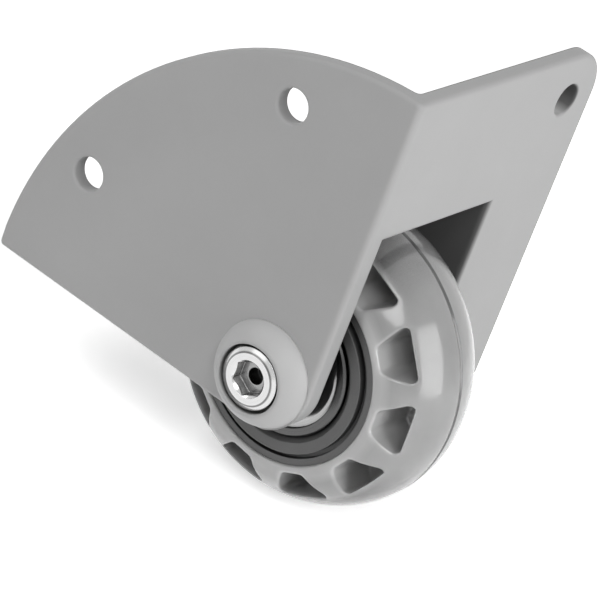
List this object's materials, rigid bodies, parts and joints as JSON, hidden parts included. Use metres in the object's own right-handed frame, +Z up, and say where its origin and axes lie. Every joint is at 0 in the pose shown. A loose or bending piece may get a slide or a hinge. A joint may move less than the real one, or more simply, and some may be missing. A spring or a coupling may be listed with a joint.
{
  "type": "corner caster",
  "caption": "Folded steel corner bracket for a case edge, carrying a small full-round wheel on ball bearings.",
  "frame": {"origin": "middle of the side plate's two screw holes, on the plate's inner face", "axes": "+X inward along the wheel's axle from the side plate, +Y back along the bottom wall, +Z up along the front wall"},
  "size_m": [0.0546, 0.0748, 0.0748],
  "materials": {
    "bracket_steel": "satin grey powder coat on folded sheet, rolled edges a little brighter",
    "collar_steel": "satin grey coat on a turned collar",
    "axle_steel": "bright plated steel",
    "spacer_steel": "turned steel",
    "race_steel": "ground bearing steel",
    "ball_steel": "polished bearing steel",
    "cage_steel": "pressed steel strip",
    "shield_steel": "pressed bright steel",
    "hub_plastic": "dark grey moulded hub",
    "tyre_elastomer": "pale grey elastomer, slightly see-through, satin"
  },
  "bodies": {
    "frame": {"bracket": "bracket_steel", "axle_collar": "collar_steel", "axle_barrel": "axle_steel", "axle_screw": "axle_steel", "axle_washer": "axle_steel", "outer_spacer": "spacer_steel", "inner_spacer": "spacer_steel", "bearing_sleeve": "spacer_steel", "near_inner_race": "race_steel", "far_inner_race": "race_steel"},
    "wheel": {"tyre": "tyre_elastomer", "wheel_hub": "hub_plastic", "near_outer_race": "race_steel", "far_outer_race": "race_steel", "near_outer_shield": "shield_steel", "near_inner_shield": "shield_steel", "far_outer_shield": "shield_steel", "far_inner_shield": "shield_steel"},
    "near_balls_and_cage": {"near_cage": "cage_steel", "near_balls": "ball_steel"},
    "far_balls_and_cage": {"far_cage": "cage_steel", "far_balls": "ball_steel"}
  },
  "joints": [
    {"name": "wheel_spin", "type": "hinge", "parent": "frame", "child": "wheel", "pos_m": [0.014, -0.02522, -0.02522], "axis": [1, 0, 0], "continuous": true},
    {"name": "near_cage_spin", "type": "hinge", "parent": "frame", "child": "near_balls_and_cage", "pos_m": [0.0065, -0.02522, -0.02522], "axis": [1, 0, 0], "continuous": true},
    {"name": "far_cage_spin", "type": "hinge", "parent": "frame", "child": "far_balls_and_cage", "pos_m": [0.0215, -0.02522, -0.02522], "axis": [1, 0, 0], "continuous": true}
  ],
  "couplings": [
    {"joint": "near_cage_spin", "follows": "wheel_spin", "ratio": 0.63227},
    {"joint": "far_cage_spin", "follows": "wheel_spin", "ratio": 0.63227}
  ]
}
